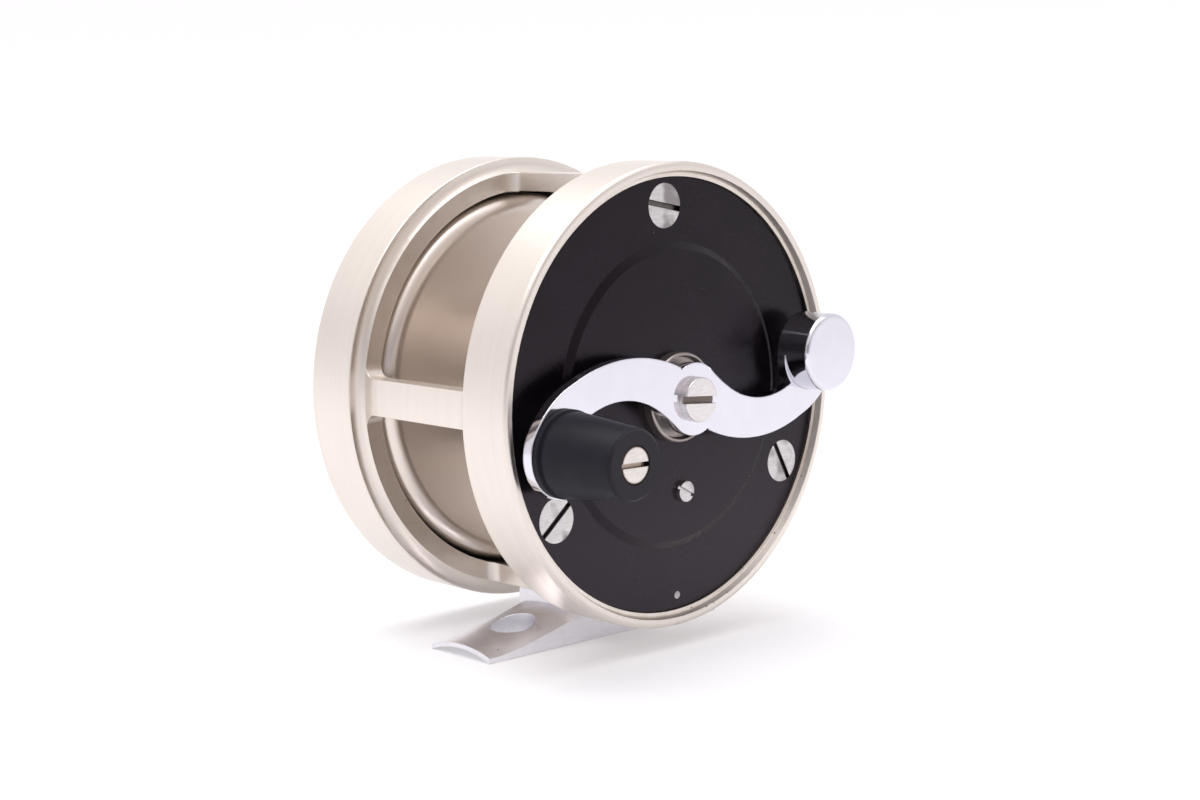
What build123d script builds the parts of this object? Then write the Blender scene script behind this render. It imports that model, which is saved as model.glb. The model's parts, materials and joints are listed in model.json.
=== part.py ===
from build123d import *
import os
from math import acos, atan2, cos, degrees, hypot, pi, radians, sin, tan

# Multiplying fly reel with a counterweighted S crank, drag lever and click.
# Frame of the part: origin at the middle of the foot, on the plane that the foot rests on.
# +X runs along the foot, +Y along the spool axis away from the handle, +Z up to the spool.
# "Depth" is the distance behind the front face of the frame, along +Y.
# Places on a plate are (x, z) from the spool axis, and angles go from +X towards +Z.

# ---- driving dimensions, millimetres ----
rim_radius = 40.0
axis_height = 44.0
foot_depth = 22.4

front_rim_end = 10.2
cage_radius = 37.68
cage_bore = 34.4
back_ring_start = 38.3
back_band_start = 39.4
back_band_radius = 40.24
back_face = 50.1
shoulder_middle = (38.80, 39.14)
band_edge = 0.14

plate_recess = 1.8
plate_thickness = 1.8
plate_radius = 37.34
plate_seat = 37.44
back_plate_face = back_face - plate_recess
back_plate_floor = back_plate_face - plate_thickness
raised_disc_base = 26.4
raised_disc_top = 25.1
raised_disc_height = 0.8
plate_screw_circle = 32.6
plate_screw_angles = (93.5, 213.5, 333.5)
plate_screw_head = 3.84
plate_screw_shank = 1.6
plate_screw_seat = 1.0
plate_screw_proud = 0.05
plate_pin_angle = -87.3
plate_pin_circle = 35.1
plate_pin_radius = 0.68
plate_pin_end = 5.4
front_screw_end = 8.0
back_screw_start = 43.0
plate_slot_width = 0.95
plate_slot_depth = 0.85
bearing_radius = 5.0
small_screw_radius = 0.8
idler_screw_hole = 1.0
foot_screw_radius = 1.0
lip_foot = 1.2
lip_slope = 0.56
lip_width = 1.0

web_start = 9.0
web_bore = 25.0
gear_case_radius = 34.6
brake_case_start = 41.3
brake_case_radius = 35.2
boss_overlap = 0.5
back_boss_start = 42.0
front_tap_end = 8.4
back_tap_start = 42.6
boss_radius = 4.0

pillar_width = 6.3
foot_pillar_width = 17.6
window_fillet = 2.3
front_window_fillet = 0.7

spool_radius = 33.9
arbor_radius = 13.5
back_lip = 3.3
front_lip = 2.2
flange_thickness = 1.2
spool_front = 10.6
spool_back = 41.2
line_start = 13.0
line_end = 37.6
spool_hub_radius = 6.0

shaft_radius = 2.5
spool_shaft_start = 5.95
spool_shaft_end = 47.9
running_gap = 0.05
gap = 0.3

knob_x = -30.36
knob_z = -6.0
arm_back = -1.84
arm_front = -3.72
arm_hub_radius = 6.2
arm_end_radius = 7.5
counterweight_radius = 6.9
counterweight_front = -8.8
knob_base_radius = 7.24
knob_tip_radius = 5.7
knob_tip = -19.45
knob_post_radius = 2.2
knob_post_end = -17.9
knob_screw_shank = 1.1
crank_screw_shank = 1.3
crank_shaft_start = -2.6

gear_module = 0.8
pressure_angle = radians(20)
backlash = 0.12
crank_gear_teeth = 25
idler_small_teeth = 17
idler_large_teeth = 24
pinion_teeth = 18
gear_spacing = gear_module * (crank_gear_teeth + idler_small_teeth) / 2
idler_angle = -82.4
idler_stud_radius = 1.6
idler_bush_radius = 3.0
crank_shaft_radius = 3.0
crank_bore = crank_shaft_radius + running_gap
outer_layer = (4.1, 5.5)
inner_layer = (6.0, 7.4)

drum_bore = 19.0
drum_radius = 20.6
ratchet_teeth = 48
ratchet_root = 23.4
ratchet_tip = 25.0
pawl_circle = 29.4
pawl_angle = 150.0
pawl_length = 5.9
pawl_rest_tilt = 45.0
pawl_travel = 18.0

cam_z = 15.0
cam_small = 2.0
cam_large = 2.8
shoe_pivot_x = 3.4
shoe_pivot_z = -14.4
shoe_start = 41.6
shoe_end = 45.0
shoe_radius = 17.2
shoe_bore = 13.2
lining_radius = 18.5
anchor_pin_radius = 1.2
cam_shaft_radius = 1.8
click_shaft_radius = 1.5
lever_gap = 0.6
lever_thickness = 1.4
lever_rivet_radius = 1.0
lever_length = 15.0
lever_rest_angle = 205.0

foot_long_wing = 30.4
foot_short_wing = 26.0
foot_width = 14.8
foot_top = 5.4
saddle_rise = 1.4
long_wing_hole = 18.4
short_wing_hole = 16.4
foot_hole_radius = 4.1
pedestal_half_length = 8.6

# ---- placing helpers ----

on_floor = (Align.CENTER, Align.CENTER, Align.MIN)


def place(angle, distance):
    """Point on a plate, from an angle in degrees and a distance from the spool axis."""
    return distance * cos(radians(angle)), distance * sin(radians(angle))


def plate_pin_place():
    return place(plate_pin_angle, plate_pin_circle)


idler_x, idler_z = place(idler_angle, gear_spacing)
pawl_x, pawl_z = place(pawl_angle, pawl_circle)


def facing_plane(depth):
    """Plane seen from the handle side, with x to the right and z up, at a depth."""
    origin = (0, depth - foot_depth, axis_height)
    return Plane(origin=origin, x_dir=(1, 0, 0), z_dir=(0, -1, 0))


def slab(sketch, start, end):
    """A flat outline made solid between two depths."""
    return extrude(facing_plane(end) * sketch, end - start)


def rod(radius, start, end, x=0.0, z=0.0):
    """Round bar along the spool axis direction between two depths."""
    return slab(Pos(x, z) * Circle(radius), start, end)


def tube(outer, inner, start, end, x=0.0, z=0.0):
    """Round bar with a bore right through it."""
    return rod(outer, start, end, x, z) - rod(inner, start - 1, end + 1, x, z)


def turned(*edges):
    """Solid of revolution about the spool axis from edges in (radius, depth)."""
    profile = make_face(Curve() + list(edges))
    return Pos(0, -foot_depth, axis_height) * revolve(profile, Axis.Y)


def turned_polygon(*points):
    """Solid of revolution from a closed polygon in (radius, depth)."""
    return turned(*Polyline(*points, close=True).edges())


def sector(outer, inner, first, last):
    """Part of a ring outline between two angles."""
    middle = (first + last) / 2
    outer_arc = ThreePointArc(place(first, outer), place(middle, outer), place(last, outer))
    inner_arc = ThreePointArc(place(first, inner), place(middle, inner), place(last, inner))
    side_a = Line(place(first, inner), place(first, outer))
    side_b = Line(place(last, inner), place(last, outer))
    return make_face(Curve() + [outer_arc, inner_arc, side_a, side_b])


def slot_cut(width, length, depth, head_face, angle, x=0.0, z=0.0):
    """Screwdriver slot cut into a head whose face is at a depth and looks forward."""
    outline = Pos(x, z) * Rot(0, 0, angle) * Rectangle(length, width)
    return slab(outline, head_face - 1, head_face + depth)


def rear_slot_cut(width, length, depth, head_face, angle, x=0.0, z=0.0):
    """Screwdriver slot cut into a head whose face looks backward."""
    outline = Pos(x, z) * Rot(0, 0, angle) * Rectangle(length, width)
    return slab(outline, head_face - depth, head_face + 1)


def save(name, body):
    """Write one sub-part."""
    export_step(body, f"parts/{name}.step")


# ---- frame ----


def front_band():
    """Front ring of the frame with the rounded lip, plate seat and web."""
    round_over = 0.9
    corner = rim_radius - round_over
    middle = (corner + round_over * sin(radians(45)), round_over * (1 - cos(radians(45))))
    lip = ThreePointArc((corner, 0), middle, (rim_radius, round_over))
    rest = Polyline(
        (rim_radius, round_over),
        (rim_radius, front_rim_end),
        (web_bore, front_rim_end),
        (web_bore, web_start),
        (gear_case_radius, web_start),
        (gear_case_radius, plate_recess + plate_thickness),
        (plate_seat, plate_recess + plate_thickness),
        (plate_seat, lip_foot),
        (plate_seat + lip_slope, lip_foot),
        (plate_seat + lip_width, 0),
        (corner, 0),
    )
    return turned(lip, *rest.edges())


def back_band():
    """Back ring of the frame with its hollowed shoulder and plate seat."""
    round_over = 0.8
    corner = back_band_radius - round_over
    edge_start = (back_band_radius - band_edge, back_band_start)
    edge_end = (back_band_radius, back_band_start + band_edge)
    shoulder = ThreePointArc((cage_radius, back_ring_start), shoulder_middle, edge_start)
    edge_middle = (corner + round_over * sin(radians(45)), back_face - round_over * (1 - cos(radians(45))))
    edge = ThreePointArc((back_band_radius, back_face - round_over), edge_middle, (corner, back_face))
    side = Line(edge_end, (back_band_radius, back_face - round_over))
    rest = Polyline(
        (corner, back_face),
        (plate_seat + lip_width, back_face),
        (plate_seat + lip_slope, back_face - lip_foot),
        (plate_seat, back_face - lip_foot),
        (plate_seat, back_plate_floor),
        (brake_case_radius, back_plate_floor),
        (brake_case_radius, brake_case_start),
        (cage_bore, brake_case_start),
        (cage_bore, back_ring_start),
        (cage_radius, back_ring_start),
    )
    return turned(shoulder, Line(edge_start, edge_end), side, edge, *rest.edges())


def corner_arc(side, half_width, end, radius, way):
    """Concave quarter circle between a pillar's side and a band, in the pillar's outline."""
    reach = radius * (1 - cos(radians(45)))
    start = (side * half_width, end - way * radius)
    middle = (side * (half_width + reach), end - way * reach)
    return ThreePointArc(start, middle, (side * (half_width + radius), end))


def pillar(angle, width):
    """Bar between the bands, spread into them by rounded window corners."""
    half = width / 2
    end = (back_ring_start - front_rim_end) / 2
    front = front_window_fillet
    back = window_fillet
    edges = [corner_arc(side, half, end, front, 1) for side in (-1, 1)]
    edges += [corner_arc(side, half, -end, back, -1) for side in (-1, 1)]
    edges += [Line((side * half, end - front), (side * half, back - end)) for side in (-1, 1)]
    edges.append(Line((-half - front, end), (half + front, end)))
    edges.append(Line((-half - back, -end), (half + back, -end)))
    radial = (cos(radians(angle)), 0, sin(radians(angle)))
    tangent = (-sin(radians(angle)), 0, cos(radians(angle)))
    middle_depth = (front_rim_end + back_ring_start) / 2
    origin = (0, middle_depth - foot_depth, axis_height)
    plane = Plane(origin=origin, x_dir=tangent, z_dir=radial)
    bar = extrude(plane * make_face(Curve() + edges), rim_radius)
    return bar & tube(cage_radius, cage_bore, front_rim_end, back_ring_start)


def pillars():
    """Four bars between the bands; the wide one at the bottom carries the foot."""
    slim = [pillar(angle, pillar_width) for angle in (0, 90, 180)]
    return slim + [pillar(270, foot_pillar_width)]


def frame_body():
    """One-piece frame: two bands, four pillars and the screw bosses."""
    body = front_band() + back_band()
    for bar in pillars():
        body += bar
    for angle in plate_screw_angles:
        x, z = place(angle, plate_screw_circle)
        front_boss = rod(boss_radius, plate_recess + plate_thickness, web_start, x, z)
        back_boss = rod(boss_radius, back_boss_start, back_plate_floor, x, z)
        front_limit = rod(gear_case_radius + boss_overlap, 0, web_start)
        back_limit = rod(brake_case_radius + boss_overlap, back_boss_start, back_plate_floor)
        body += (front_boss & front_limit) + (back_boss & back_limit)
        body -= rod(plate_screw_shank, plate_recess, front_tap_end, x, z)
        body -= rod(plate_screw_shank, back_tap_start, back_face, x, z)
    body -= rod(plate_pin_radius + 0.01, plate_recess, plate_pin_end + 0.2, *plate_pin_place())
    for x, z in bulkhead_screw_places():
        body -= rod(small_screw_radius, web_start - 1, front_rim_end + 1, x, z)
    for x, y in foot_screw_places():
        body -= Pos(x, y, 0) * Cylinder(foot_screw_radius, axis_height, align=on_floor)
    return body


# ---- front plate and what it carries ----


def front_plate():
    """Black disc with a shallow raised centre."""
    disc = rod(plate_radius, plate_recess, plate_recess + plate_thickness)
    raised = turned_polygon(
        (0, plate_recess - raised_disc_height),
        (raised_disc_top, plate_recess - raised_disc_height),
        (raised_disc_base, plate_recess),
        (raised_disc_base, plate_recess + 0.5),
        (0, plate_recess + 0.5),
    )
    body = disc + raised
    for angle in plate_screw_angles:
        x, z = place(angle, plate_screw_circle)
        body -= rod(plate_screw_head, 0, plate_recess + plate_screw_seat, x, z)
        body -= rod(plate_screw_shank, 0, web_start, x, z)
    body -= rod(plate_pin_radius + 0.01, 0, web_start, *plate_pin_place())
    body -= rod(bearing_radius, 0, web_start)
    body -= rod(idler_screw_hole, 0, web_start, idler_x, idler_z)
    return body


def front_plate_screws():
    """Three large flush slotted screws."""
    slots = (-10.0, 40.0, -60.0)
    head_face = plate_recess - plate_screw_proud
    screws = []
    for angle, slot in zip(plate_screw_angles, slots):
        x, z = place(angle, plate_screw_circle)
        head = rod(plate_screw_head - 0.02, head_face, plate_recess + plate_screw_seat, x, z)
        shank = rod(plate_screw_shank, plate_recess + plate_screw_seat, front_screw_end, x, z)
        cut = slot_cut(plate_slot_width, 9, plate_slot_depth, head_face, slot, x, z)
        screws.append(head + shank - cut)
    return Compound(screws)


def plate_pin():
    """Small pin that stops the front plate turning."""
    return rod(plate_pin_radius, plate_recess - 0.05, plate_pin_end, *plate_pin_place())


def bulkhead_screw_places():
    return [place(angle, 26.3) for angle in (-10, 110, 230)]


def gear_bulkhead():
    """Inner bearing plate between the gears and the spool."""
    body = rod(27.9, 8.0, web_start) + rod(web_bore - 0.05, web_start, front_rim_end)
    body -= rod(bearing_radius, 7, 11)
    body -= rod(idler_stud_radius + running_gap, 7, 9.4, idler_x, idler_z)
    for x, z in bulkhead_screw_places():
        body -= rod(small_screw_radius, 7, 11, x, z)
    return body


def bulkhead_screws():
    """Three small cheese-head screws that hold the inner bearing plate."""
    screws = []
    for x, z in bulkhead_screw_places():
        body = rod(1.2, 7.2, 8.0, x, z) + rod(small_screw_radius, 8.0, front_rim_end - 0.1, x, z)
        screws.append(body - slot_cut(0.35, 3, 0.35, 7.2, 0, x, z))
    return Compound(screws)


def crank_bushing():
    """Cupped nickel collar and sleeve that the crank shaft turns in."""
    return turned_polygon(
        (crank_bore, 0.2),
        (6.9, 0.2),
        (7.2, -0.96),
        (7.5, -0.96),
        (7.7, -0.7),
        (7.7, 1.0),
        (bearing_radius, 1.0),
        (bearing_radius, 3.9),
        (crank_bore, 3.9),
    )


def idler_stud():
    """Fixed stud behind the front plate that the idler turns on."""
    shoulder = rod(2.6, 3.6, 3.9, idler_x, idler_z)
    stud = rod(idler_stud_radius, 3.9, 9.3, idler_x, idler_z)
    return shoulder + stud - rod(0.9, 3.5, 6.5, idler_x, idler_z)


def idler_screw():
    """Small raised cheese-head screw that holds the idler stud."""
    head = rod(1.8, 0.1, 1.0, idler_x, idler_z)
    shank = rod(0.9, 1.0, 6.3, idler_x, idler_z)
    return head + shank - slot_cut(0.55, 4, 0.6, 0.1, -28, idler_x, idler_z)


# ---- gears ----


def involute(angle):
    return tan(angle) - angle


def gear_outline(teeth, first_tooth):
    """Involute spur gear outline with a tooth centred on first_tooth, in degrees."""
    pitch_radius = gear_module * teeth / 2
    base_radius = pitch_radius * cos(pressure_angle)
    tip_radius = pitch_radius + 0.92 * gear_module
    root_radius = pitch_radius - 1.2 * gear_module
    half_tooth = pi / (2 * teeth) - backlash / (2 * pitch_radius)
    start = max(base_radius, root_radius)
    steps = 4
    flank = [(root_radius, half_tooth + involute(pressure_angle) + 0.01)]
    for step in range(steps + 1):
        radius = start + (tip_radius - start) * step / steps
        lean = involute(acos(base_radius / radius))
        flank.append((radius, half_tooth + involute(pressure_angle) - lean))
    points = []
    for tooth in range(teeth):
        centre = radians(first_tooth) + 2 * pi * tooth / teeth
        for radius, offset in flank:
            points.append((radius * cos(centre - offset), radius * sin(centre - offset)))
        for radius, offset in reversed(flank):
            points.append((radius * cos(centre + offset), radius * sin(centre + offset)))
    return make_face(Polyline(*points, close=True))


def spur_gear(teeth, first_tooth, bore, layer, x=0.0, z=0.0):
    """Gear blank between two depths with a plain bore."""
    outline = Pos(x, z) * (gear_outline(teeth, first_tooth) - Circle(bore))
    return slab(outline, layer[0], layer[1])


def crank_gear():
    """Large gear on the crank shaft, with a tooth aimed at the idler."""
    return spur_gear(crank_gear_teeth, idler_angle, crank_shaft_radius, outer_layer)


def idler_small_gear():
    """Small idler gear driven by the crank gear, with a gap aimed at it."""
    first = idler_angle + 180 + 180 / idler_small_teeth
    return spur_gear(idler_small_teeth, first, idler_bush_radius, outer_layer, idler_x, idler_z)


def idler_large_gear():
    """Large idler gear, with a tooth aimed at the spool pinion."""
    first = idler_angle + 180
    return spur_gear(idler_large_teeth, first, idler_bush_radius, inner_layer, idler_x, idler_z)


def spool_pinion():
    """Pinion on the spool shaft, with a gap aimed at the idler."""
    first = idler_angle + 180 / pinion_teeth
    return spur_gear(pinion_teeth, first, shaft_radius, inner_layer)


def idler_bush():
    """Bronze bush pressed into both idler gears, with a spacer collar between them."""
    sleeve = rod(idler_bush_radius, 4.0, 7.8, idler_x, idler_z)
    collar = rod(4.4, outer_layer[1], inner_layer[0], idler_x, idler_z)
    return sleeve + collar - rod(idler_stud_radius + running_gap, 3, 9, idler_x, idler_z)


# ---- crank ----


def crank_outline():
    """S-shaped crank with a round end for the knob and a thin cradle at the counterweight."""
    half = make_face(
        Curve()
        + [
            ThreePointArc((-3.56, 5.64), (-16.0, 8.1), (-28.2, 5.2)),
            ThreePointArc((-28.2, 5.2), (-33.0, 2.4), (-36.6, -1.85)),
            Line((-36.6, -1.85), (knob_x, knob_z)),
            Line((knob_x, knob_z), (-25.2, -0.55)),
            ThreePointArc((-25.2, -0.55), (-18.0, 1.25), (-8.6, -1.3)),
            ThreePointArc((-8.6, -1.3), (-6.30, -2.855), (-4.15, -4.61)),
            Line((-4.15, -4.61), (0, 0)),
            Line((0, 0), (-3.56, 5.64)),
        ]
    )
    end = Pos(knob_x, knob_z) * Circle(arm_end_radius)
    cradle = make_face(
        Curve()
        + [
            ThreePointArc((25.2, 0.55), (23.79, 2.94), (23.42, 5.64)),
            Line((23.42, 5.64), (-knob_x, -knob_z)),
            Line((-knob_x, -knob_z), (25.2, 0.55)),
        ]
    )
    return half + end + Circle(arm_hub_radius) + Rot(0, 0, 180) * half + cradle


def crank_arm():
    """Polished S arm; the far end is cut to seat against the counterweight."""
    body = slab(crank_outline(), arm_front, arm_back)
    body -= rod(counterweight_radius, arm_front - 1, arm_back + 1, -knob_x, -knob_z)
    hub = rod(5.2, arm_back, -0.1)
    body = body + hub
    body -= rod(crank_shaft_radius, crank_shaft_start, 0)
    body -= rod(crank_screw_shank, arm_front - 1, 0)
    body -= rod(knob_post_radius, arm_front - 1, arm_back + 1, knob_x, knob_z)
    return body


def counterweight():
    """Solid polished cylinder at the far end of the crank."""
    body = rod(counterweight_radius, counterweight_front, arm_back, -knob_x, -knob_z)
    front_edges = body.edges().group_by(Axis.Y)[0]
    return fillet(front_edges, 0.8)


def crank_screw():
    """Wide cheese-head screw that holds the crank to its shaft."""
    screw_top = -5.28
    head = rod(3.84, screw_top, arm_front)
    head = fillet(head.edges().group_by(Axis.Y)[0], 0.25)
    shank = rod(crank_screw_shank, arm_front, 2.0)
    return head + shank - slot_cut(1.25, 9, 1.0, screw_top, -4)


def crank_shaft():
    """Shaft from the crank to the crank gear."""
    return rod(crank_shaft_radius, crank_shaft_start, 5.6) - rod(crank_screw_shank, -3, 2.2)


def knob_post():
    """Post riveted into the crank that the knob turns on."""
    body = rod(knob_post_radius, knob_post_end, arm_back, knob_x, knob_z)
    return body - rod(knob_screw_shank, -18.5, -10, knob_x, knob_z)


def knob_screw():
    """Flush slotted screw in the end of the knob."""
    knob_screw_face = -19.4
    head = rod(2.95, knob_screw_face, knob_post_end, knob_x, knob_z)
    shank = rod(knob_screw_shank, knob_post_end, -10.4, knob_x, knob_z)
    return head + shank - slot_cut(0.8, 7, 0.9, knob_screw_face, -1, knob_x, knob_z)


def handle_knob():
    """Tapered black knob with a grooved foot ring."""
    base = arm_front - 0.1
    outline = Polyline(
        (knob_post_radius + running_gap, base),
        (knob_base_radius, base),
        (knob_base_radius, base - 0.9),
        (6.7, base - 1.15),
        (6.7, base - 1.6),
        (7.0, base - 1.9),
        (knob_tip_radius + 0.12, knob_tip + 0.5),
        (knob_tip_radius - 0.35, knob_tip),
        (3.1, knob_tip),
        (3.1, -17.75),
        (knob_post_radius + running_gap, -17.75),
        close=True,
    )
    body = revolve(make_face(outline), Axis.Y)
    return Pos(knob_x, -foot_depth, axis_height + knob_z) * body


# ---- spool ----


def rolled_edge(lip_centre_radius, lip_centre_depth, reach, way, end_depth):
    """Rounded flange edge: an arc from the line side out to the rim, then straight."""
    low = lip_centre_depth - way * reach
    slant = reach * sin(radians(45))
    middle = (lip_centre_radius + slant, lip_centre_depth - way * slant)
    arc = ThreePointArc((lip_centre_radius, low), middle, (lip_centre_radius + reach, lip_centre_depth))
    straight = Line((lip_centre_radius + reach, lip_centre_depth), (lip_centre_radius + reach, end_depth))
    return [arc, straight]


def spool_body():
    """Spool turned from one piece: two flanges with rolled edges and a hollow arbor."""
    back_lip_centre = spool_radius - back_lip
    front_lip_centre = spool_radius - front_lip
    rim_inside = spool_radius - flange_thickness
    back_depth = line_end + back_lip
    front_depth = line_start - front_lip
    back_outer = rolled_edge(back_lip_centre, back_depth, back_lip, 1, spool_back)
    back_inner = rolled_edge(back_lip_centre, back_depth, back_lip - flange_thickness, 1, spool_back)
    front_outer = rolled_edge(front_lip_centre, front_depth, front_lip, -1, spool_front)
    front_inner = rolled_edge(front_lip_centre, front_depth, front_lip - flange_thickness, -1, spool_front)
    root = 2.0
    hollow = 11.5
    near = root * (1 - cos(radians(45)))
    back_face_of_flange = line_end + flange_thickness
    front_face_of_flange = line_start - flange_thickness
    edges = [
        *back_outer,
        Line((spool_radius, spool_back), (rim_inside, spool_back)),
        *back_inner,
        Line((back_lip_centre, back_face_of_flange), (hollow, back_face_of_flange)),
        Line((hollow, back_face_of_flange), (hollow, line_start)),
        Line((hollow, line_start), (spool_hub_radius, line_start)),
        Line((spool_hub_radius, line_start), (spool_hub_radius, spool_back)),
        Line((spool_hub_radius, spool_back), (shaft_radius, spool_back)),
        Line((shaft_radius, spool_back), (shaft_radius, spool_front)),
        Line((shaft_radius, spool_front), (spool_hub_radius, spool_front)),
        Line((spool_hub_radius, spool_front), (spool_hub_radius, front_face_of_flange)),
        Line((spool_hub_radius, front_face_of_flange), (front_lip_centre, front_face_of_flange)),
        *front_inner,
        Line((rim_inside, spool_front), (spool_radius, spool_front)),
        *front_outer,
        Line((front_lip_centre, line_start), (arbor_radius + root, line_start)),
        ThreePointArc(
            (arbor_radius + root, line_start),
            (arbor_radius + near, line_start + near),
            (arbor_radius, line_start + root),
        ),
        Line((arbor_radius, line_start + root), (arbor_radius, line_end - root)),
        ThreePointArc(
            (arbor_radius, line_end - root),
            (arbor_radius + near, line_end - near),
            (arbor_radius + root, line_end),
        ),
        Line((arbor_radius + root, line_end), (back_lip_centre, line_end)),
    ]
    return turned(*edges)


def spool_shaft():
    """Steel shaft through the spool, in a bearing at each end."""
    return rod(shaft_radius, spool_shaft_start, spool_shaft_end)


def front_bearing():
    """Bronze bearing in the inner bearing plate."""
    return tube(bearing_radius, shaft_radius + running_gap, 7.7, front_rim_end)


def rear_bearing():
    """Bronze bearing in the back plate."""
    return tube(bearing_radius, shaft_radius + running_gap, 45.6, back_plate_face)


def brake_drum():
    """Steel drum on the back of the spool that the brake shoes rub on."""
    return tube(drum_radius, drum_bore, line_end + flange_thickness, shoe_end)


def pawl_tip_polar(tilt):
    """Distance and angle of the pawl's tip from the spool axis at a tilt, in degrees."""
    inward = pawl_angle + 180 + tilt
    step_x, step_z = place(inward, pawl_length)
    x = pawl_x + step_x
    z = pawl_z + step_z
    return hypot(x, z), degrees(atan2(z, x))


def ratchet_wheel():
    """Toothed click ring around the brake drum, with a gap where the pawl enters."""
    gap_angle = pawl_tip_polar(pawl_rest_tilt - pawl_travel)[1]
    pitch = 360 / ratchet_teeth
    points = []
    for tooth in range(ratchet_teeth):
        centre = gap_angle + pitch * (tooth + 0.5)
        points.append(place(centre - 0.46 * pitch, ratchet_root))
        points.append(place(centre - 0.07 * pitch, ratchet_tip))
        points.append(place(centre + 0.07 * pitch, ratchet_tip))
        points.append(place(centre + 0.46 * pitch, ratchet_root))
    outline = make_face(Polyline(*points, close=True)) - Circle(drum_radius)
    return slab(outline, line_end + flange_thickness, 40.8)


# ---- back plate and what it carries ----

def back_plate():
    """Black disc that carries the rear bearing, brake and click."""
    body = rod(plate_radius, back_plate_floor, back_plate_face)
    for angle in plate_screw_angles:
        x, z = place(angle, plate_screw_circle)
        body -= rod(plate_screw_head, back_plate_face - plate_screw_seat, back_face, x, z)
        body -= rod(plate_screw_shank, shoe_end, back_face, x, z)
    body -= rod(bearing_radius, shoe_end, back_face)
    body -= rod(cam_shaft_radius + running_gap, shoe_end, back_face, 0, cam_z)
    body -= rod(click_shaft_radius + running_gap, shoe_end, back_face, pawl_x, pawl_z)
    for side in (-1, 1):
        body -= rod(anchor_pin_radius, shoe_end, back_face, side * shoe_pivot_x, shoe_pivot_z)
    return body


def back_plate_screws():
    """Three large flush slotted screws of the back plate."""
    slots = (159.0, 3.0, 207.0)
    seat = back_plate_face - plate_screw_seat
    head_face = back_plate_face + plate_screw_proud
    screws = []
    for angle, slot in zip(plate_screw_angles, slots):
        x, z = place(angle, plate_screw_circle)
        head = rod(plate_screw_head - 0.02, seat, head_face, x, z)
        shank = rod(plate_screw_shank, back_screw_start, seat, x, z)
        cut = rear_slot_cut(plate_slot_width, 9, plate_slot_depth, head_face, slot, x, z)
        screws.append(head + shank - cut)
    return Compound(screws)


def bearing_cap():
    """Domed oil cap over the rear bearing."""
    top = back_plate_face + 2.1
    dome_middle = (4.0, top - 0.35)
    dome = ThreePointArc((0, top), dome_middle, (6.8, top - 1.0))
    rest = Polyline(
        (6.8, top - 1.0),
        (7.2, top - 1.3),
        (7.2, back_plate_face),
        (5.2, back_plate_face),
        (5.2, back_plate_face + 0.9),
        (0, back_plate_face + 0.9),
        (0, top),
    )
    body = turned(dome, *rest.edges())
    return body - rear_slot_cut(1.0, 16, 0.5, top - 0.2, 20)


def brake_anchor_pins():
    """Two pins riveted into the back plate, one for each shoe."""
    pins = []
    for side in (-1, 1):
        pins.append(rod(anchor_pin_radius, 41.2, back_plate_face, side * shoe_pivot_x, shoe_pivot_z))
    return Compound(pins)


def brake_shoe(side):
    """Curved shoe on one side, pivoted at the bottom and spread by the cam at the top."""
    ring = Circle(shoe_radius) - Circle(shoe_bore)
    half = ring & (Pos(side * 12.15, 0) * Rectangle(20, 40))
    eye = Pos(side * shoe_pivot_x, shoe_pivot_z) * Circle(2.6)
    hole = Pos(side * shoe_pivot_x, shoe_pivot_z) * Circle(anchor_pin_radius + running_gap)
    return slab(half + eye - hole, shoe_start, shoe_end)


def brake_lining(side):
    """Friction lining bonded to the outside of a shoe."""
    middle = 0 if side > 0 else 180
    return slab(sector(lining_radius, shoe_radius, middle - 50, middle + 50), shoe_start, shoe_end)


def brake_cam():
    """Oval cam and its shaft, turned by the drag lever to spread the shoes."""
    cam = slab(Pos(0, cam_z) * Ellipse(cam_small, cam_large), 41.8, 44.8)
    shaft = rod(cam_shaft_radius, 44.8, back_plate_face + 2.2, 0, cam_z)
    return cam + shaft - rod(small_screw_radius, 47.5, 51.5, 0, cam_z)


def brake_spring():
    """Hairpin spring on the back plate whose legs draw the shoes in."""
    wire = 0.8
    coil = tube(3.0, 2.2, 43.0, 44.6, 0, -9.0)
    legs = []
    for side in (-1, 1):
        tilt = 90 - side * 52
        leg = Pos(side * 6.2, -5.8) * Rot(0, 0, tilt) * Rectangle(9.2, wire)
        legs.append(slab(leg, 43.0, 44.6))
    return coil + legs - rod(2.2, 42, 46, 0, -9.0)


def brake_spring_post():
    """Post on the back plate that the hairpin spring hangs on."""
    return rod(2.1, 42.8, back_plate_floor, 0, -9.0)


def drag_lever():
    """Flat lever on the cam shaft, with a rounded end."""
    start = back_plate_face + lever_gap
    tip_x, tip_z = place(lever_rest_angle, lever_length)
    blade = Pos(tip_x / 2, cam_z + tip_z / 2) * Rot(0, 0, lever_rest_angle) * Rectangle(lever_length, 3.4)
    eye = Pos(0, cam_z) * Circle(3.6)
    end = Pos(tip_x, cam_z + tip_z) * Circle(2.3)
    body = slab(eye + blade + end, start, start + lever_thickness)
    body -= rod(cam_shaft_radius, start - 1, start + 3, 0, cam_z)
    return body - rod(lever_rivet_radius, start - 1, start + 3, tip_x, cam_z + tip_z)


def drag_lever_knob():
    """Small turned finger button at the end of the drag lever."""
    start = back_plate_face + lever_gap
    tip_x, tip_z = place(lever_rest_angle, lever_length)
    stem = rod(lever_rivet_radius, start, start + lever_thickness, tip_x, cam_z + tip_z)
    button = rod(2.2, start + lever_thickness, start + 3.6, tip_x, cam_z + tip_z)
    button = fillet(button.edges().group_by(Axis.Y)[-1], 0.6)
    return stem + button


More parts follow.
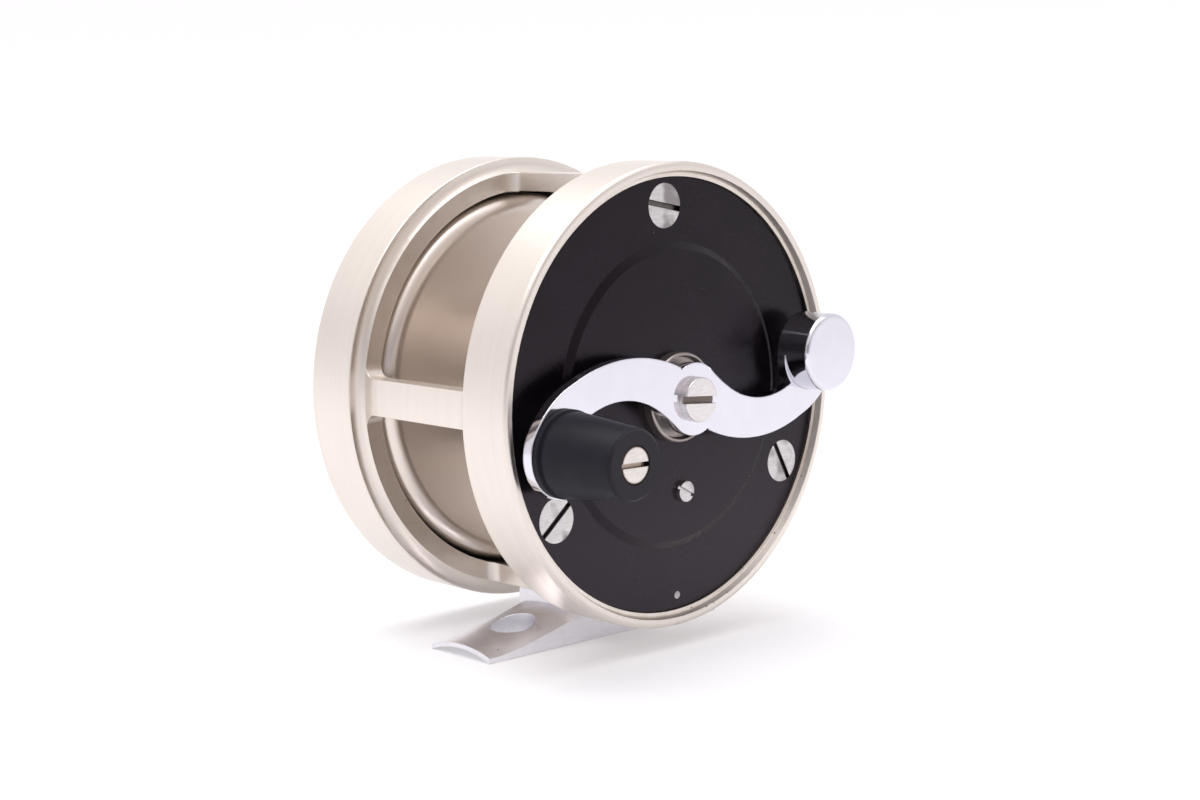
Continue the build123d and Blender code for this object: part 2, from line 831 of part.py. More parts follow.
def drag_lever_screw():
    """Cheese-head screw that holds the drag lever on the cam shaft."""
    seat = back_plate_face + 2.2
    head = rod(2.6, seat, seat + 0.9, 0, cam_z)
    shank = rod(small_screw_radius, 47.6, seat, 0, cam_z)
    return head + shank - rear_slot_cut(0.6, 6, 0.45, seat + 0.9, 35, 0, cam_z)


def drag_stops():
    """Two small pins on the back plate that end the lever's travel."""
    pins = []
    for angle in (lever_rest_angle + 16, lever_rest_angle - 106):
        x, z = place(angle, 9.0)
        pins.append(rod(0.6, back_plate_face, back_plate_face + 1.8, x, cam_z + z))
    return Compound(pins)


def click_pawl():
    """Pointed pawl that drops between the teeth of the click ring."""
    inward = pawl_angle + 180 + pawl_rest_tilt
    corners = [(0, -1.6), (pawl_length, -0.3), (pawl_length, 0.3), (0, 1.6)]
    finger = make_face(Polyline(*corners, close=True))
    outline = Circle(2.0) + finger - Circle(click_shaft_radius)
    placed = Pos(pawl_x, pawl_z) * Rot(0, 0, inward) * outline
    return slab(placed, 39.2, 40.7)


def click_shaft():
    """Shaft of the pawl, through the back plate."""
    flange = rod(2.2, 41.0, 41.6, pawl_x, pawl_z)
    return rod(click_shaft_radius, 39.2, back_plate_face + 1.9, pawl_x, pawl_z) + flange


def click_lever():
    """Finger lever outside the back plate that turns the pawl on and off."""
    start = back_plate_face + 0.5
    angle = pawl_angle - 60
    tip_x, tip_z = place(angle, 5.0)
    blade = Pos(pawl_x + tip_x / 2, pawl_z + tip_z / 2) * Rot(0, 0, angle) * Rectangle(5.0, 2.4)
    eye = Pos(pawl_x, pawl_z) * Circle(2.7)
    end = Pos(pawl_x + tip_x, pawl_z + tip_z) * Circle(1.6)
    body = slab(eye + blade + end, start, start + lever_thickness)
    return body - rod(click_shaft_radius, start - 1, start + 3, pawl_x, pawl_z)


def click_spring_anchor():
    return place(pawl_angle + 20, 29.0)


def click_spring():
    """Leaf spring that holds the click in its on or off place."""
    x, z = click_spring_anchor()
    away_x = pawl_x - x
    away_z = pawl_z - z
    length = hypot(away_x, away_z)
    angle = degrees(atan2(away_z, away_x))
    leaf = Pos(x, z) * Rot(0, 0, angle) * Pos(length / 2, 1.55 + gap) * Rectangle(length + 3, 0.4)
    eye = Pos(x, z) * Circle(2.1)
    hole = Pos(x, z) * Circle(small_screw_radius)
    return slab(leaf + eye - hole, 43.6, 45.4)


def click_spring_screw():
    """Screw that holds the leaf spring to the back plate."""
    x, z = click_spring_anchor()
    head = rod(1.5, 42.8, 43.6, x, z)
    return head + rod(small_screw_radius, 43.6, back_plate_floor, x, z)


# ---- foot ----


def foot_screw_places():
    return [(side * 4.6, 0.0) for side in (-1, 1)]


def foot_section(x, side_height, ridge_height):
    """Cross-section of the foot: a shallow saddle below and an arch above."""
    half = foot_width / 2
    plane = Plane(origin=(x, 0, 0), x_dir=(0, 1, 0), z_dir=(1, 0, 0))
    edges = [
        ThreePointArc((-half, 0), (0, saddle_rise), (half, 0)),
        Line((half, 0), (half, side_height)),
        ThreePointArc((half, side_height), (0, ridge_height), (-half, side_height)),
        Line((-half, side_height), (-half, 0)),
    ]
    return plane * make_face(Curve() + edges)


def foot_wing(side, reach):
    """One wing of the foot, thin at its end and rising to the middle."""
    stations = [
        (reach, 0.95, 2.2),
        (24.0 - (foot_long_wing - reach) / 2, 1.45, 2.8),
        (18.0, 2.7, 4.0),
        (13.0, 3.9, 5.0),
        (9.0, 4.9, foot_top),
    ]
    sections = [foot_section(side * x, low, high) for x, low, high in stations]
    return loft(sections)


def reel_foot():
    """Saddle foot that seats in a rod's reel seat, with a round hole in each wing."""
    middle = extrude(foot_section(-9.0, 4.9, foot_top), 18.0)
    body = foot_wing(-1, foot_long_wing) + middle + foot_wing(1, foot_short_wing)
    for x in (-long_wing_hole, short_wing_hole):
        body -= Pos(x, 0, 0) * Cylinder(foot_hole_radius, 20)
    for x, y in foot_screw_places():
        body -= Pos(x, y, 0) * Cylinder(foot_screw_radius, 30)
        body -= Pos(x, y, 1.2) * Cylinder(1.9, 2.4)
    return body


def foot_pedestal():
    """Block between the foot and the frame's bottom pillar."""
    half = foot_width / 2
    tall = Box(2 * pedestal_half_length, foot_width + 1.4, 6, align=(Align.CENTER, Align.MIN, Align.MIN))
    body = Pos(0, -half, 3.9) * tall
    body -= rod(cage_radius, 0, 50)
    body -= foot_arch_above()
    for x, y in foot_screw_places():
        body -= Pos(x, y, 0) * Cylinder(foot_screw_radius, 30)
    return body


def foot_arch_above():
    """Space that the middle of the foot fills, under the pedestal."""
    return extrude(foot_section(-9.5, 4.9, foot_top), 19.0)


def foot_screws():
    """Two screws up through the foot and pedestal into the frame."""
    screws = []
    for x, y in foot_screw_places():
        head = Pos(x, y, 1.5) * Cylinder(1.8, 0.9, align=on_floor)
        shank = Pos(x, y, 2.4) * Cylinder(foot_screw_radius, 6.4, align=on_floor)
        cut = Pos(x, y, 1.5) * Box(4, 0.5, 0.6)
        screws.append(head + shank - cut)
    return Compound(screws)


# ---- write every sub-part ----

sub_parts = {
    "frame": frame_body(),
    "front_plate": front_plate(),
    "front_plate_screws": front_plate_screws(),
    "plate_pin": plate_pin(),
    "gear_bulkhead": gear_bulkhead(),
    "bulkhead_screws": bulkhead_screws(),
    "front_bearing": front_bearing(),
    "crank_bushing": crank_bushing(),
    "idler_stud": idler_stud(),
    "idler_screw": idler_screw(),
    "idler_bush": idler_bush(),
    "idler_small_gear": idler_small_gear(),
    "idler_large_gear": idler_large_gear(),
    "crank_gear": crank_gear(),
    "crank_shaft": crank_shaft(),
    "crank_arm": crank_arm(),
    "crank_screw": crank_screw(),
    "counterweight": counterweight(),
    "knob_post": knob_post(),
    "knob_screw": knob_screw(),
    "handle_knob": handle_knob(),
    "spool": spool_body(),
    "spool_shaft": spool_shaft(),
    "spool_pinion": spool_pinion(),
    "ratchet_wheel": ratchet_wheel(),
    "brake_drum": brake_drum(),
    "back_plate": back_plate(),
    "back_plate_screws": back_plate_screws(),
    "rear_bearing": rear_bearing(),
    "bearing_cap": bearing_cap(),
    "brake_anchor_pins": brake_anchor_pins(),
    "brake_shoe_left": brake_shoe(-1),
    "brake_shoe_right": brake_shoe(1),
    "brake_lining_left": brake_lining(-1),
    "brake_lining_right": brake_lining(1),
    "brake_cam": brake_cam(),
    "brake_spring": brake_spring(),
    "brake_spring_post": brake_spring_post(),
    "drag_lever": drag_lever(),
    "drag_lever_knob": drag_lever_knob(),
    "drag_lever_screw": drag_lever_screw(),
    "drag_stops": drag_stops(),
    "click_pawl": click_pawl(),
    "click_shaft": click_shaft(),
    "click_lever": click_lever(),
    "click_spring": click_spring(),
    "click_spring_screw": click_spring_screw(),
    "foot_pedestal": foot_pedestal(),
    "reel_foot": reel_foot(),
    "foot_screws": foot_screws(),
}

os.makedirs("parts", exist_ok=True)
for node_name, solid in sub_parts.items():
    save(node_name, solid)
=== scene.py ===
"""Looks for a fly reel: procedural materials, a white sweep, soft light and the camera."""

import bpy
import json
from math import cos, radians, sin
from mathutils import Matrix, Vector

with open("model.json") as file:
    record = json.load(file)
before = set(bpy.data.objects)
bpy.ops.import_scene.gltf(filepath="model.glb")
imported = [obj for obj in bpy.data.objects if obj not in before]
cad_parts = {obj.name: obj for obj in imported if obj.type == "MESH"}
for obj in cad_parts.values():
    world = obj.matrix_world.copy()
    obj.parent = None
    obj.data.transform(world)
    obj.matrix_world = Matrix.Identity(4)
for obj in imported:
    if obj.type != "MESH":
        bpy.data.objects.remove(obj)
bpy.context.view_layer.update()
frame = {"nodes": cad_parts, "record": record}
nodes = frame["nodes"]

# ---- places and sizes in the reel's own axes, metres; a centre is x and z, a face is y ----
SPOOL_AXIS = (0.0, 0.044)
KNOB_CENTRE = (-0.03036, 0.038)
FRONT_FACE = -0.0224
BACK_FACE = 0.0277
LIP_BORE = 0.0374
LIP_TOP = 0.0385
LIP_DEPTH = 0.0017
BACK_RING_FACE = 0.0158
BACK_RING_RADIUS = 0.0376
PLATE_LOW = 0.020
PLATE_HIGH = 0.060

CRANK_SCREW_FACE = -0.02768
PLATE_SCREW_FACE = -0.02065
KNOB_SCREW_FACE = -0.0418
CRANK_SCREW_RADIUS = 0.00384
KNOB_SCREW_RADIUS = 0.00292
SLOT_REACH = 0.0015
WHOLE_PLATE = 0.05

EDGE_ROUNDING = 0.00018
SOFT_EDGE = 0.0002
ARM_EDGE = 0.0004
EDGE_BAND = 0.0001

# Sizes of surface marks: pitches in metres, scales in cells per metre.
FINE_PITCH = 0.00022
SPOOL_PITCH = 0.00018
KNOB_PITCH = 0.00016
MICRO_RELIEF = 0.00003


class Shader:
    """One node material: adds shader nodes by short calls and links their sockets."""

    def __init__(self, name):
        self.material = bpy.data.materials.new(name)
        self.material.use_nodes = True
        self.tree = self.material.node_tree
        self.tree.nodes.clear()
        output = self.add("OutputMaterial")
        self.surface = self.add("BsdfPrincipled")
        self.tree.links.new(self.surface.outputs[0], output.inputs["Surface"])
        self.place = self.add("TexCoord").outputs["Object"]

    def add(self, kind, inputs=None, **settings):
        node = self.tree.nodes.new("ShaderNode" + kind)
        for key, value in settings.items():
            setattr(node, key, value)
        for socket, value in (inputs or {}).items():
            if isinstance(value, bpy.types.NodeSocket):
                self.tree.links.new(value, node.inputs[socket])
            else:
                node.inputs[socket].default_value = value
        return node

    def set(self, **inputs):
        """Puts numbers, colours or sockets on the shader; underscores stand for spaces."""
        for key, value in inputs.items():
            socket = self.surface.inputs[key.replace("_", " ")]
            if isinstance(value, bpy.types.NodeSocket):
                self.tree.links.new(value, socket)
            else:
                socket.default_value = value

    def math(self, operation, a, b=0.0, c=0.0):
        node = self.add("Math", {0: a, 1: b, 2: c}, operation=operation)
        return node.outputs[0]

    def vector(self, operation, a, b=(0.0, 0.0, 0.0)):
        node = self.add("VectorMath", {0: a, 1: b}, operation=operation)
        return node.outputs["Value" if operation in ("LENGTH", "DOT_PRODUCT") else "Vector"]

    def scaled(self, vector, factors):
        return self.vector("MULTIPLY", vector, factors)

    def noise(self, vector, scale, detail=2.0, roughness=0.5, distortion=0.0):
        inputs = {"Vector": vector, "Scale": scale, "Detail": detail,
                  "Roughness": roughness, "Distortion": distortion}
        return self.add("TexNoise", inputs).outputs["Fac"]

    def span(self, value, low, high, to_low=0.0, to_high=1.0, smooth=False):
        """Value mapped from low..high to to_low..to_high, clamped."""
        inputs = {"Value": value, "From Min": low, "From Max": high, "To Min": to_low, "To Max": to_high}
        kind = "SMOOTHSTEP" if smooth else "LINEAR"
        return self.add("MapRange", inputs, interpolation_type=kind).outputs["Result"]

    def mix(self, factor, first, second, blend="MIX"):
        node = self.add("Mix", data_type="RGBA", blend_type=blend)
        for socket, value in ((0, factor), (6, first), (7, second)):
            if isinstance(value, bpy.types.NodeSocket):
                self.tree.links.new(value, node.inputs[socket])
            else:
                node.inputs[socket].default_value = value
        return node.outputs[2]

    def polar(self, centre):
        """Distance from an axis along Y, unit direction from it, and place along it."""
        moved = self.vector("SUBTRACT", self.place, (centre[0], 0.0, centre[1]))
        flat = self.scaled(moved, (1.0, 0.0, 1.0))
        radius = self.vector("LENGTH", flat)
        unit = self.vector("NORMALIZE", flat)
        depth = self.add("SeparateXYZ", {0: moved}).outputs["Y"]
        return radius, unit, depth

    def lathe_lines(self, centre, along, pitch):
        """Fine rings round an axis along Y, as a lathe or a spinning brush leaves them."""
        radius, unit, depth = self.polar(centre)
        across = self.math("MULTIPLY", self.math("ADD", radius, depth), 1.0 / pitch)
        shift = self.add("CombineXYZ", {1: across}).outputs[0]
        lined = self.vector("ADD", self.scaled(unit, (along, 0.0, along)), shift)
        return self.noise(lined, 1.0, 3.0, 0.65)

    def straight_lines(self, scale):
        """Fine straight lines; scale is the lines per metre along X, Y and Z."""
        return self.noise(self.scaled(self.place, scale), 1.0, 3.0, 0.65)

    def bevelled_bump(self, height, strength, distance, radius=EDGE_ROUNDING):
        rounded = self.add("Bevel", {"Radius": radius}, samples=6).outputs[0]
        inputs = {"Height": height, "Strength": strength, "Distance": distance, "Normal": rounded}
        self.set(Normal=self.add("Bump", inputs).outputs[0])

    def specks(self, scale, size, share):
        """Small round specks: 1 inside a speck, 0 outside; share is how many cells hold one."""
        cells = self.add("TexVoronoi", {"Vector": self.place, "Scale": scale}, feature="F1")
        near = self.span(cells.outputs["Distance"], size, size * 0.5)
        chosen = self.span(self.add("SeparateXYZ", {0: cells.outputs["Color"]}).outputs["X"],
                           share, share * 0.98)
        return self.math("MULTIPLY", near, chosen)


def colour(*rgb):
    """Opaque colour from linear red, green and blue."""
    return (*rgb, 1.0)


TAN_FILM = colour(0.52, 0.43, 0.33)
BROWN_SPECK = colour(0.16, 0.09, 0.04)
RUB_SCALE = (500.0, 500.0, 3200.0)


def turned_metal(name, base, shade, roughness, pitch=FINE_PITCH, spread=0.10, bump=0.06,
                 anisotropy=0.0, dirt_and_shade=None):
    """Satin metal with fine rings round the spool axis; the optional dirt mask marks a region with brown
    specks.
    """
    s = Shader(name)
    lines = s.lathe_lines(SPOOL_AXIS, 2.5, pitch)
    bands = s.lathe_lines(SPOOL_AXIS, 1.0, pitch * 7)
    cloud = s.noise(s.place, 90.0, 3.0)
    tone = s.math("ADD", s.math("MULTIPLY", lines, 0.6), s.math("MULTIPLY", bands, 0.4))
    paint = s.mix(s.span(tone, 0.3, 0.7), base, shade)
    paint = s.mix(s.span(cloud, 0.35, 0.7, 0.0, 0.35), paint, shade)
    rough = s.span(tone, 0.25, 0.75, roughness - spread / 2, roughness + spread / 2)
    if dirt_and_shade:
        region = dirt_and_shade(s)
        patchy = s.span(s.noise(s.place, 60.0, 2.0), 0.48, 0.62)
        spots = s.math("MULTIPLY", s.math("MULTIPLY", s.specks(1100.0, 0.26, 0.14), patchy), region)
        film = s.math("MULTIPLY", s.span(s.noise(s.place, 400.0, 4.0), 0.45, 0.75, 0.0, 0.30), region)
        paint = s.mix(film, paint, TAN_FILM)
        paint = s.mix(spots, paint, BROWN_SPECK)
    s.set(Base_Color=paint, Metallic=1.0, Roughness=rough)
    if anisotropy:
        s.set(Anisotropic=anisotropy)
        s.set(Tangent=s.add("Tangent", direction_type="RADIAL", axis="Y").outputs[0])
    s.bevelled_bump(lines, bump, MICRO_RELIEF)
    return s.material


def frame_dirt(s):
    """1 on the inner wall of both lips and 0.8 on the back band's front face, else 0."""
    radius, _, depth = s.polar(SPOOL_AXIS)
    inner = s.math("MULTIPLY", s.span(radius, LIP_BORE - EDGE_BAND, LIP_BORE),
                   s.span(radius, LIP_TOP + 3 * EDGE_BAND, LIP_TOP))
    front_end = FRONT_FACE + LIP_DEPTH
    back_end = BACK_FACE - LIP_DEPTH
    ends = s.math("MAXIMUM", s.span(depth, front_end + 3 * EDGE_BAND, front_end),
                  s.span(depth, back_end - 3 * EDGE_BAND, back_end))
    lips = s.math("MULTIPLY", inner, ends)
    past_face = s.span(depth, BACK_RING_FACE - EDGE_BAND, BACK_RING_FACE)
    near_face = s.span(depth, BACK_RING_FACE + 4 * EDGE_BAND, BACK_RING_FACE + 3 * EDGE_BAND)
    ring = s.math("MULTIPLY", s.span(radius, BACK_RING_RADIUS + 2 * EDGE_BAND, BACK_RING_RADIUS),
                  s.math("MULTIPLY", past_face, near_face))
    return s.math("MAXIMUM", lips, s.math("MULTIPLY", ring, 0.8))


def black_plate(name):
    """Black anodised disc with faint rings, brown dust, pale scratches and a film low down."""
    s = Shader(name)
    rings = s.lathe_lines(SPOOL_AXIS, 1.5, SPOOL_PITCH)
    cloud = s.noise(s.place, 120.0, 4.0)
    paint = s.mix(s.span(cloud, 0.3, 0.7), colour(0.0020, 0.0012, 0.0022), colour(0.0045, 0.0030, 0.0048))
    dust = s.math("MULTIPLY", s.specks(420.0, 0.07, 0.10), 0.5)
    paint = s.mix(dust, paint, colour(0.22, 0.15, 0.09))
    hair = s.noise(s.scaled(s.place, (260.0, 260.0, 2600.0)), 1.0, 2.0, 0.5, 0.4)
    paint = s.mix(s.span(hair, 0.76, 0.80, 0.0, 0.35), paint, colour(0.10, 0.09, 0.09))
    rough = s.span(s.math("ADD", s.math("MULTIPLY", rings, 0.3), cloud), 0.45, 0.85, 0.22, 0.30)
    height = s.add("SeparateXYZ", {0: s.place}).outputs["Z"]
    film = s.span(height, PLATE_LOW, PLATE_HIGH, 0.33, 0.20)
    s.set(Base_Color=paint, Metallic=0.0, Roughness=rough, Specular_IOR_Level=film)
    s.set(Specular_Tint=colour(0.98, 0.84, 1.0))
    s.bevelled_bump(rings, 0.015, 0.00002)
    return s.material


def polished(name, base, shade, roughness):
    """Hand-polished metal with faint smudges and hairline scratches."""
    s = Shader(name)
    smudge = s.noise(s.place, 160.0, 4.0, 0.6)
    hair = s.noise(s.scaled(s.place, (900.0, 900.0, 5200.0)), 1.0, 2.0, 0.6, 0.2)
    cross = s.noise(s.scaled(s.place, (5200.0, 900.0, 900.0)), 1.0, 2.0, 0.6, 0.2)
    marks = s.math("MAXIMUM", s.span(hair, 0.62, 0.8), s.span(cross, 0.64, 0.82))
    paint = s.mix(s.span(smudge, 0.3, 0.75), base, shade)
    rough = s.math("ADD", s.span(smudge, 0.3, 0.75, roughness * 0.6, roughness * 1.5),
                   s.math("MULTIPLY", marks, 0.06))
    s.set(Base_Color=paint, Metallic=1.0, Roughness=rough)
    s.bevelled_bump(smudge, 0.02, 0.00010, ARM_EDGE)
    return s.material


def slot_painted_shade(s, paint, face, centre, side_radius, amount, dirt_and_shade):
    """Paints a dark colour below a screw head's front face and inside its side, where its slot is cut:
    painted shade in the slot's recess.
    """
    radius, _, depth = s.polar(centre)
    inside = s.span(radius, side_radius, side_radius - 0.00015)
    below = s.span(depth, face + 0.00012, face + 0.0005)
    above = s.span(depth, face + SLOT_REACH + EDGE_BAND, face + SLOT_REACH)
    deep = s.math("MULTIPLY", s.math("MULTIPLY", below, above), inside)
    return s.mix(s.math("MULTIPLY", deep, amount), paint, dirt_and_shade)


def rim_painted_shade(s, paint, centre, edge, dirt_and_shade):
    """Paints a thin dark ring at the edge of a flush screw head: painted shade in the gap round it."""
    radius = s.polar(centre)[0]
    return s.mix(s.span(radius, edge - 3 * EDGE_BAND, edge), paint, dirt_and_shade)


def worn_steel(name, base, shade, roughness, slot=None, rim=None, stain_amount=0.0):
    """Satin metal with straight rub lines and small pits; stain adds dirt, while slot and rim add painted
    shade in the slot and at the head's edge.
    """
    s = Shader(name)
    lines = s.straight_lines(RUB_SCALE)
    cloud = s.noise(s.place, 500.0, 4.0, 0.6)
    pits = s.specks(1700.0, 0.22, 0.16)
    paint = s.mix(s.span(lines, 0.3, 0.7), base, shade)
    paint = s.mix(s.span(cloud, 0.45, 0.8, 0.0, 0.5), paint, shade)
    paint = s.mix(s.math("MULTIPLY", pits, 0.3), paint, colour(0.30, 0.25, 0.21))
    stain = s.noise(s.place, 170.0, 2.0, 0.6)
    paint = s.mix(s.span(stain, 0.50, 0.64, 0.0, stain_amount), paint, colour(0.17, 0.15, 0.15))
    rough = s.span(s.math("ADD", lines, cloud), 0.7, 1.3, roughness - 0.05, roughness + 0.08)
    # Painted shade in the screw slot and at the screw head's edge.
    if slot:
        paint = slot_painted_shade(s, paint, **slot)
    if rim:
        paint = rim_painted_shade(s, paint, **rim)
    s.set(Base_Color=paint, Metallic=1.0, Roughness=rough)
    s.bevelled_bump(lines, 0.05, MICRO_RELIEF)
    return s.material


def moulded_black(name, centre):
    """Matte blue-black knob with fine turning marks and a painted highlight: its end is painted lighter.
    """
    s = Shader(name)
    rings = s.lathe_lines(centre, 3.0, KNOB_PITCH)
    grain = s.noise(s.place, 5200.0, 2.0)
    cloud = s.noise(s.place, 240.0, 3.0)
    paint = s.mix(s.span(cloud, 0.3, 0.7), colour(0.0040, 0.0043, 0.0090), colour(0.0070, 0.0072, 0.0130))
    rough = s.span(s.math("ADD", rings, grain), 0.6, 1.4, 0.42, 0.58)
    depth = s.add("SeparateXYZ", {0: s.place}).outputs["Y"]
    # Painted highlight: the last 0.6 mm at the knob's end is painted lighter.
    painted_highlight_end = s.span(depth, KNOB_SCREW_FACE + 0.0006, KNOB_SCREW_FACE)
    paint = s.mix(painted_highlight_end, paint, colour(0.016, 0.014, 0.020))
    s.set(Base_Color=paint, Metallic=0.0, Roughness=rough, Specular_IOR_Level=0.19)
    s.bevelled_bump(s.math("ADD", rings, s.math("MULTIPLY", grain, 0.5)), 0.10, 0.00002, SOFT_EDGE)
    return s.material


def foot_aluminium(name):
    """Bare aluminium with filing lines along the foot, scuffs and dark pits."""
    s = Shader(name)
    lines = s.straight_lines((220.0, 4200.0, 4200.0))
    cloud = s.noise(s.place, 320.0, 4.0, 0.6)
    pits = s.specks(520.0, 0.10, 0.14)
    paint = s.mix(s.span(lines, 0.3, 0.7), colour(0.88, 0.87, 0.91), colour(0.79, 0.78, 0.82))
    paint = s.mix(s.span(cloud, 0.45, 0.8, 0.0, 0.4), paint, colour(0.70, 0.68, 0.69))
    paint = s.mix(pits, paint, colour(0.06, 0.05, 0.045))
    rough = s.span(s.math("ADD", lines, cloud), 0.7, 1.3, 0.26, 0.42)
    s.set(Base_Color=paint, Metallic=0.94, Roughness=rough)
    s.bevelled_bump(s.math("SUBTRACT", lines, pits), 0.18, 0.00004, SOFT_EDGE)
    return s.material


def plain_fibre(name):
    """Woven friction lining."""
    s = Shader(name)
    weave = s.noise(s.scaled(s.place, (2600.0, 5200.0, 2600.0)), 1.0, 2.0)
    paint = s.mix(s.span(weave, 0.3, 0.7), colour(0.20, 0.12, 0.07), colour(0.34, 0.22, 0.13))
    s.set(Base_Color=paint, Metallic=0.0, Roughness=0.85)
    s.bevelled_bump(weave, 0.4, 0.00008)
    return s.material


champagne = colour(0.785, 0.730, 0.675)
champagne_shade = colour(0.72, 0.662, 0.605)

frame_metal = turned_metal("champagne_frame", champagne, champagne_shade, 0.34,
                           anisotropy=0.4, dirt_and_shade=frame_dirt)
spool_metal = turned_metal("satin_spool", colour(0.73, 0.665, 0.612), colour(0.705, 0.640, 0.586), 0.30,
                           pitch=SPOOL_PITCH, spread=0.03, bump=0.012)
collar_metal = turned_metal("worn_nickel", colour(0.50, 0.455, 0.435), colour(0.26, 0.225, 0.210), 0.40,
                            spread=0.16)
# The dark colours in these slot tables are painted shade in the screw slots.
plate_slot = {"face": PLATE_SCREW_FACE, "centre": SPOOL_AXIS, "side_radius": WHOLE_PLATE,
              "amount": 0.85, "dirt_and_shade": colour(0.035, 0.026, 0.020)}
crank_slot = {"face": CRANK_SCREW_FACE, "centre": SPOOL_AXIS, "side_radius": CRANK_SCREW_RADIUS,
              "amount": 0.92, "dirt_and_shade": colour(0.10, 0.075, 0.06)}
knob_slot = {"face": KNOB_SCREW_FACE, "centre": KNOB_CENTRE, "side_radius": WHOLE_PLATE,
             "amount": 0.75, "dirt_and_shade": colour(0.30, 0.22, 0.15)}
# Painted shade: a dark ring where the knob screw meets its hole.
knob_rim = {"centre": KNOB_CENTRE, "edge": KNOB_SCREW_RADIUS, "dirt_and_shade": colour(0.10, 0.055, 0.03)}

screw_metal = worn_steel("screw_steel", colour(0.64, 0.62, 0.62), colour(0.52, 0.50, 0.50), 0.30,
                         slot=plate_slot, stain_amount=0.75)
crank_screw_metal = worn_steel("crank_screw_steel", colour(0.74, 0.71, 0.71),
                               colour(0.66, 0.63, 0.62), 0.28, slot=crank_slot)
knob_screw_metal = worn_steel("knob_screw_steel", colour(0.74, 0.70, 0.67),
                              colour(0.64, 0.60, 0.56), 0.30, slot=knob_slot, rim=knob_rim)
crank_metal = polished("polished_crank", colour(0.725, 0.720, 0.775), colour(0.690, 0.683, 0.738), 0.09)
plate_metal = black_plate("black_plate")
knob_black = moulded_black("black_knob", KNOB_CENTRE)
foot_metal = foot_aluminium("bare_foot")
shaft_metal = worn_steel("ground_steel", colour(0.60, 0.60, 0.60), colour(0.48, 0.48, 0.48), 0.28)
gear_metal = worn_steel("cut_brass", colour(0.78, 0.58, 0.27), colour(0.62, 0.44, 0.19), 0.30)
bearing_metal = worn_steel("turned_bronze", colour(0.58, 0.37, 0.20), colour(0.45, 0.28, 0.14), 0.34)
shoe_metal = worn_steel("cast_shoe", colour(0.62, 0.62, 0.62), colour(0.48, 0.48, 0.48), 0.45)
lining_fibre = plain_fibre("friction_lining")

finishes = {
    "frame_metal": frame_metal,
    "plate_black": plate_metal,
    "screw_steel": screw_metal,
    "collar_nickel": collar_metal,
    "bearing_bronze": bearing_metal,
    "gear_brass": gear_metal,
    "shaft_steel": shaft_metal,
    "crank_polish": crank_metal,
    "knob_black": knob_black,
    "spool_metal": spool_metal,
    "shoe_metal": shoe_metal,
    "lining": lining_fibre,
    "foot_metal": foot_metal,
}
node_finishes = {"knob_screw": knob_screw_metal, "crank_screw": crank_screw_metal}

for entry in frame["record"]["subparts"]:
    node = nodes[entry["node"]]
    finish = node_finishes.get(entry["node"], finishes[entry["material_slot"]])
    node.data.materials.clear()
    node.data.materials.append(finish)


# ---- sweep, light and camera ----


def stage_material():
    """White paper, greyer where it rises behind the camera: painted grey standing in for the unlit room
    there, and a faint glow, a painted light that lightens shadows.
    """
    s = Shader("glowing_paper")
    grain = s.noise(s.place, 900.0, 2.0)
    flat = s.scaled(s.place, (1.0, 1.0, 0.0))
    facing = s.vector("DOT_PRODUCT", s.vector("NORMALIZE", flat), (-0.70, -0.71, 0.0))
    side = s.span(facing, 0.60, 0.96, smooth=True)
    risen = s.span(s.vector("LENGTH", flat), 0.75, 1.15, smooth=True)
    shade = s.math("MULTIPLY", side, risen)
    paper = s.mix(grain, colour(0.56, 0.555, 0.565), colour(0.58, 0.575, 0.585))
    # Painted shade: a grey sheet on the rise behind the camera, for dark reflections.
    s.set(Base_Color=s.mix(shade, paper, colour(0.26, 0.245, 0.25)))
    s.set(Roughness=0.9, Specular_IOR_Level=0.1)
    # Painted light: the paper glows, most on the floor, to lighten shadows.
    glow = s.span(shade, 0.0, 1.0, 0.34, 0.12)
    s.set(Emission_Color=colour(1.0, 0.985, 1.0), Emission_Strength=glow)
    return s.material


def white_bowl():
    """Seamless paper: a flat disc that curves up all round, like a studio sweep."""
    flat_radius = 0.9
    rise = 0.6
    segments = 96
    steps = 16
    points = [(0.0, 0.0, 0.0)]
    for step in range(steps + 1):
        climb = radians(90 * step / steps)
        radius = flat_radius + rise * sin(climb)
        height = rise * (1 - cos(climb))
        for segment in range(segments):
            angle = radians(360 * segment / segments)
            points.append((radius * cos(angle), radius * sin(angle), height))
    faces = [(0, 1 + segment, 1 + (segment + 1) % segments) for segment in range(segments)]
    for ring in range(steps):
        inner = 1 + ring * segments
        outer = inner + segments
        for segment in range(segments):
            after = (segment + 1) % segments
            faces.append((inner + segment, outer + segment, outer + after, inner + after))
    mesh = bpy.data.meshes.new("bowl")
    mesh.from_pydata(points, [], faces)
    mesh.update()
    mesh.shade_smooth()
    mesh.materials.append(stage_material())
    bowl = bpy.data.objects.new("bowl", mesh)
    bpy.context.scene.collection.objects.link(bowl)


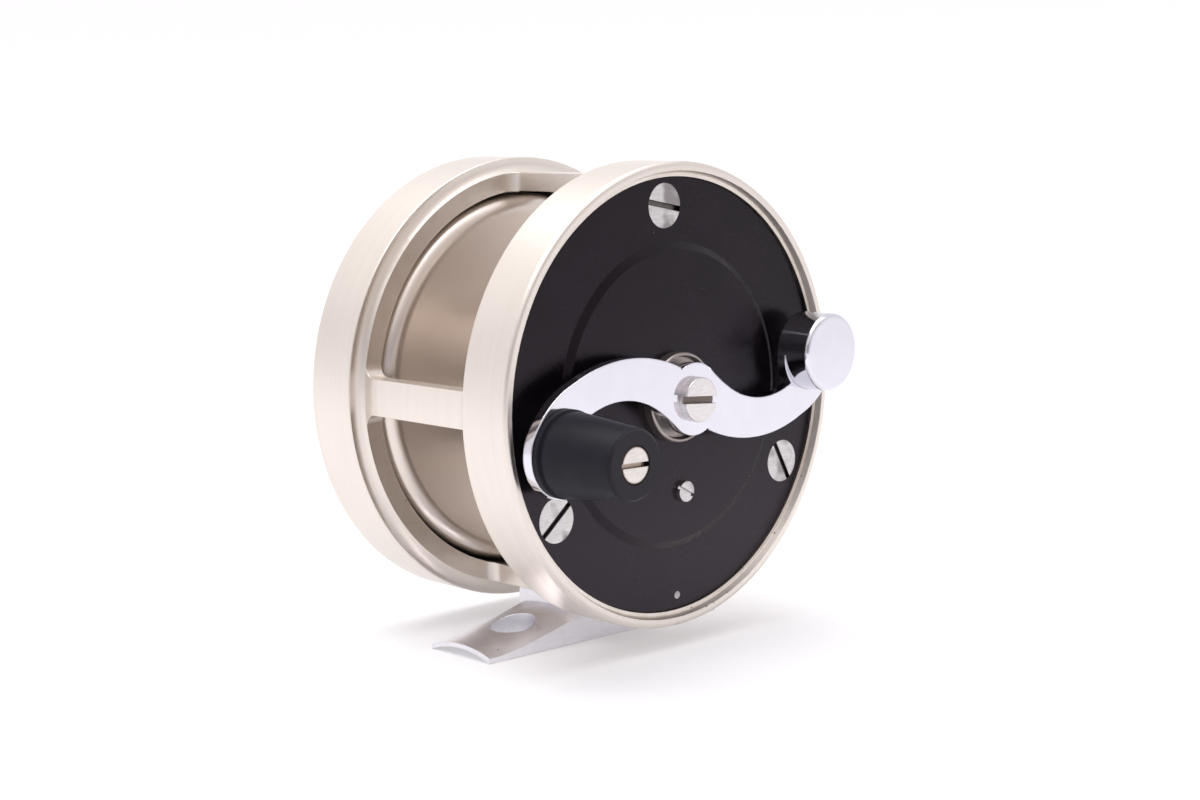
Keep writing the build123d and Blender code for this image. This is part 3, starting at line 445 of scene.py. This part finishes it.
class World:
    """World light made of a base colour and soft round patches in chosen directions."""

    def __init__(self, base):
        self.world = bpy.data.worlds.new("studio")
        bpy.context.scene.world = self.world
        self.world.use_nodes = True
        self.tree = self.world.node_tree
        self.tree.nodes.clear()
        self.direction = self.tree.nodes.new("ShaderNodeTexCoord").outputs["Generated"]
        flat = self.tree.nodes.new("ShaderNodeRGB")
        flat.outputs[0].default_value = base
        self.light = flat.outputs[0]

    def patch(self, toward, inner, outer, light):
        """Blends towards a colour inside a cone; inner and outer are its half angles."""
        unit = Vector(toward).normalized()
        dot = self.tree.nodes.new("ShaderNodeVectorMath")
        dot.operation = "DOT_PRODUCT"
        dot.inputs[1].default_value = unit
        self.tree.links.new(self.direction, dot.inputs[0])
        span = self.tree.nodes.new("ShaderNodeMapRange")
        span.interpolation_type = "SMOOTHSTEP"
        span.inputs["From Min"].default_value = cos(radians(outer))
        span.inputs["From Max"].default_value = cos(radians(inner))
        self.tree.links.new(dot.outputs["Value"], span.inputs["Value"])
        mix = self.tree.nodes.new("ShaderNodeMix")
        mix.data_type = "RGBA"
        self.tree.links.new(span.outputs[0], mix.inputs[0])
        self.tree.links.new(self.light, mix.inputs[6])
        mix.inputs[7].default_value = light
        self.light = mix.outputs[2]

    def finish(self):
        background = self.tree.nodes.new("ShaderNodeBackground")
        self.tree.links.new(self.light, background.inputs["Color"])
        output = self.tree.nodes.new("ShaderNodeOutputWorld")
        self.tree.links.new(background.outputs[0], output.inputs["Surface"])


def white_room():
    """Pale room: bright above and behind, a little warmer in front."""
    room = World(colour(0.93, 0.92, 0.95))
    room.patch((-0.05, -0.55, 0.83), 20.0, 42.0, colour(1.90, 1.86, 1.94))
    room.patch((-0.10, 0.70, 0.70), 20.0, 45.0, colour(1.14, 1.11, 1.12))
    room.patch((0.0, -1.0, 0.35), 25.0, 50.0, colour(0.76, 0.69, 0.66))
    room.finish()


def soft_light(name, place, target, size, power):
    """Rectangular area light aimed at a point."""
    data = bpy.data.lights.new(name, "AREA")
    data.shape = "RECTANGLE"
    data.size, data.size_y = size
    data.energy = power
    light = bpy.data.objects.new(name, data)
    light.location = place
    aim = Vector(target) - Vector(place)
    light.rotation_euler = aim.to_track_quat("-Z", "Y").to_euler()
    bpy.context.scene.collection.objects.link(light)


def photo_camera():
    """Camera low on the handle side, about 0.37 m from the reel."""
    data = bpy.data.cameras.new("camera")
    data.lens = 61.84
    data.sensor_width = 36.0
    data.clip_start = 0.01
    data.clip_end = 50.0
    camera = bpy.data.objects.new("camera", data)
    camera.location = (-0.254396, -0.261116, 0.089964)
    camera.rotation_euler = (radians(82.404), 0.0, radians(-44.603))
    bpy.context.scene.collection.objects.link(camera)
    bpy.context.scene.camera = camera


white_bowl()
white_room()
soft_light("overhead", (-0.1, 0.15, 0.9), (0.0, 0.0, 0.04), (0.8, 0.8), 6.5)
photo_camera()
bpy.context.scene.view_settings.view_transform = "Standard"
